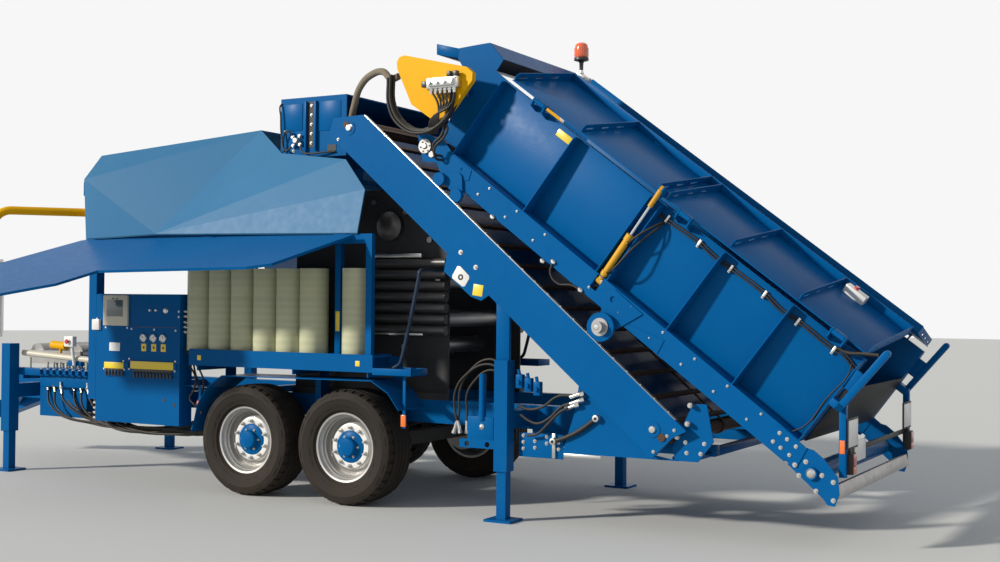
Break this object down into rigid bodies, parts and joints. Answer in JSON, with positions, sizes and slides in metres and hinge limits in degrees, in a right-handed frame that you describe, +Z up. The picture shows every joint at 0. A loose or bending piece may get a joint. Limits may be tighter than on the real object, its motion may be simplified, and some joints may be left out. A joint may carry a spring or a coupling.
{
  "type": "towed round bale press and wrapper with feed elevator and folding hopper",
  "caption": "Trailer that presses chopped crop into round bales and wraps them: folding feed hopper, slat elevator, bale chamber, film store and twin-arm wrapping table.",
  "frame": {"origin": "on the ground, under the middle of the machine's length and width", "axes": "+X forwards to the drawbar, +Y to the machine's left, +Z up"},
  "size_m": [10.5018, 5.5474, 4.0748],
  "materials": {
    "blue_paint": "glossy",
    "dark_paint": "satin",
    "panel_paint": "satin",
    "roller_steel": "worn",
    "slat_steel": "dusty",
    "film": "satin",
    "arm_orange": "glossy",
    "zinc": "satin",
    "cylinder_yellow": "glossy",
    "rod_chrome": "polished",
    "beacon_amber": "clear",
    "lamp_red": "clear",
    "rim_silver": "satin",
    "tyre_rubber": "matt"
  },
  "bodies": {
    "machine": {"chassis_frame": "blue_paint", "drawbar": "blue_paint", "axles": "dark_paint", "support_legs": "blue_paint", "fenders": "blue_paint", "cabinet": "blue_paint", "control_panel": "panel_paint", "film_shelf": "blue_paint", "film_rolls": "film", "hood_left": "blue_paint", "hood_right": "blue_paint", "hood_frame": "blue_paint", "chamber_walls": "dark_paint", "chamber_rollers": "roller_steel", "feed_box": "blue_paint", "elevator_sides": "blue_paint", "elevator_bed": "blue_paint", "slat_chain": "slat_steel", "rear_base": "blue_paint", "hydraulic_tank": "blue_paint", "gantry": "blue_paint", "table_frame": "blue_paint"},
    "flap_left": {"flap_left": "blue_paint"},
    "flap_right": {"flap_right": "blue_paint"},
    "satellite": {"satellite_rotor": "arm_orange", "film_stretchers": "zinc"},
    "table": {"wrap_table": "roller_steel"},
    "carriage": {"carriage": "roller_steel"},
    "hopper": {"hopper_floor": "blue_paint", "hopper_walls": "blue_paint", "hopper_tail": "blue_paint", "hopper_front": "blue_paint", "beacon": "beacon_amber", "motor_guard": "arm_orange", "lamp_boards": "lamp_red"},
    "wing_left": {"wing_left": "blue_paint"},
    "wing_right": {"wing_right": "blue_paint"},
    "barrel_left": {"barrel_left": "cylinder_yellow"},
    "barrel_right": {"barrel_right": "cylinder_yellow"},
    "piston_left": {"piston_left": "rod_chrome"},
    "piston_right": {"piston_right": "rod_chrome"},
    "wheel_fl": {"rim_fl": "rim_silver", "tyre_fl": "tyre_rubber"},
    "wheel_fr": {"rim_fr": "rim_silver", "tyre_fr": "tyre_rubber"},
    "wheel_rl": {"rim_rl": "rim_silver", "tyre_rl": "tyre_rubber"},
    "wheel_rr": {"rim_rr": "rim_silver", "tyre_rr": "tyre_rubber"}
  },
  "joints": [
    {"name": "wheel_fl_spin", "type": "hinge", "parent": "machine", "child": "wheel_fl", "pos_m": [0.42713, 1.055, 0.4975], "axis": [0, 1, 0], "continuous": true},
    {"name": "wheel_fr_spin", "type": "hinge", "parent": "machine", "child": "wheel_fr", "pos_m": [0.42713, -1.055, 0.4975], "axis": [0, 1, 0], "continuous": true},
    {"name": "wheel_rl_spin", "type": "hinge", "parent": "machine", "child": "wheel_rl", "pos_m": [-0.66787, 1.055, 0.4975], "axis": [0, 1, 0], "continuous": true},
    {"name": "wheel_rr_spin", "type": "hinge", "parent": "machine", "child": "wheel_rr", "pos_m": [-0.66787, -1.055, 0.4975], "axis": [0, 1, 0], "continuous": true},
    {"name": "flap_left_fold", "type": "hinge", "parent": "machine", "child": "flap_left", "pos_m": [0.77963, 1.262, 2.305], "axis": [1, 0, 0], "range_deg": [-70, 0]},
    {"name": "flap_right_fold", "type": "hinge", "parent": "machine", "child": "flap_right", "pos_m": [0.77963, -1.262, 2.305], "axis": [-1, 0, 0], "range_deg": [-70, 0]},
    {"name": "satellite_spin", "type": "hinge", "parent": "machine", "child": "satellite", "pos_m": [3.52963, 0, 2.7], "axis": [0, 0, 1], "continuous": true},
    {"name": "table_tilt", "type": "hinge", "parent": "machine", "child": "table", "pos_m": [3.52963, -0.56, 1.04], "axis": [1, 0, 0], "range_deg": [0, 40]},
    {"name": "hopper_slide", "type": "slide", "parent": "machine", "child": "carriage", "axis": [-0.7581, 0, -0.6521], "range_m": [0, 2.5]},
    {"name": "hopper_tilt", "type": "hinge", "parent": "carriage", "child": "hopper", "pos_m": [-1.72037, 0, 2.765], "axis": [0, 1, 0], "range_deg": [0, 36.9]},
    {"name": "wing_left_fold", "type": "hinge", "parent": "hopper", "child": "wing_left", "pos_m": [-3.49487, 1.085, 2.57687], "axis": [-0.7997, 0, -0.6004], "range_deg": [0, 112]},
    {"name": "barrel_left_swing", "type": "hinge", "parent": "hopper", "child": "barrel_left", "pos_m": [-3.00853, 1.085, 1.92912], "axis": [-0.7997, 0, -0.6004], "range_deg": [0, 1.8]},
    {"name": "piston_left_slide", "type": "slide", "parent": "barrel_left", "child": "piston_left", "axis": [-0.6001, 0.0326, 0.7993], "range_m": [-0.11321, 0]},
    {"name": "wing_right_fold", "type": "hinge", "parent": "hopper", "child": "wing_right", "pos_m": [-3.49487, -1.085, 2.57687], "axis": [0.7997, 0, 0.6004], "range_deg": [0, 112]},
    {"name": "barrel_right_swing", "type": "hinge", "parent": "hopper", "child": "barrel_right", "pos_m": [-3.00853, -1.085, 1.92912], "axis": [0.7997, 0, 0.6004], "range_deg": [0, 1.8]},
    {"name": "piston_right_slide", "type": "slide", "parent": "barrel_right", "child": "piston_right", "axis": [-0.6001, -0.0326, 0.7993], "range_m": [-0.11321, 0]}
  ],
  "couplings": [
    {"joint": "hopper_tilt", "follows": "hopper_slide", "rad_per_m": 0.25761},
    {"joint": "barrel_left_swing", "follows": "wing_left_fold", "ratio": 0.016042},
    {"joint": "piston_left_slide", "follows": "wing_left_fold", "m_per_rad": -0.057915},
    {"joint": "barrel_right_swing", "follows": "wing_right_fold", "ratio": 0.016042},
    {"joint": "piston_right_slide", "follows": "wing_right_fold", "m_per_rad": -0.057915}
  ]
}
